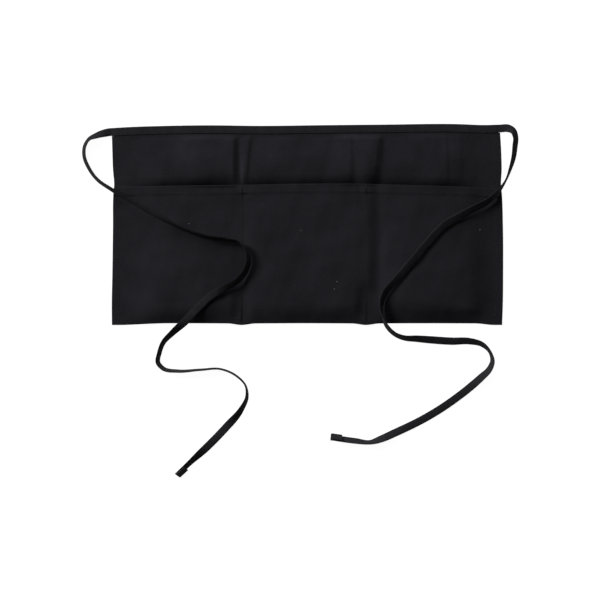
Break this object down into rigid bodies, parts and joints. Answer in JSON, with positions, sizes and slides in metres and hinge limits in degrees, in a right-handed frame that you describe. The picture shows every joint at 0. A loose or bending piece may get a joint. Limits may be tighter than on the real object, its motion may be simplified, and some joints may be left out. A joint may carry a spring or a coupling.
{
  "type": "waist apron",
  "caption": "Short black waist apron with side-by-side patch pockets, a folded tape waistband and long flat tie strings, laid flat.",
  "frame": {"origin": "centre of the apron's own box, without its ties, on the surface that it lies on", "axes": "+X across the apron toward its right side as seen from the front, +Y up toward the waistband, +Z out of the front, away from the surface"},
  "size_m": [0.6769, 0.5487, 0.0218],
  "materials": {
    "twill": "matte black poly-cotton twill",
    "tape": "black woven tape with a slight sheen"
  },
  "bodies": {
    "root": {"body_panel": "twill", "pocket_panel": "twill", "pocket_hem": "twill", "side_hem_left": "twill", "side_hem_right": "twill", "waistband": "tape", "tie_left": "tape", "tie_right": "tape", "tie_end_left": "tape", "tie_end_right": "tape"}
  },
  "joints": []
}
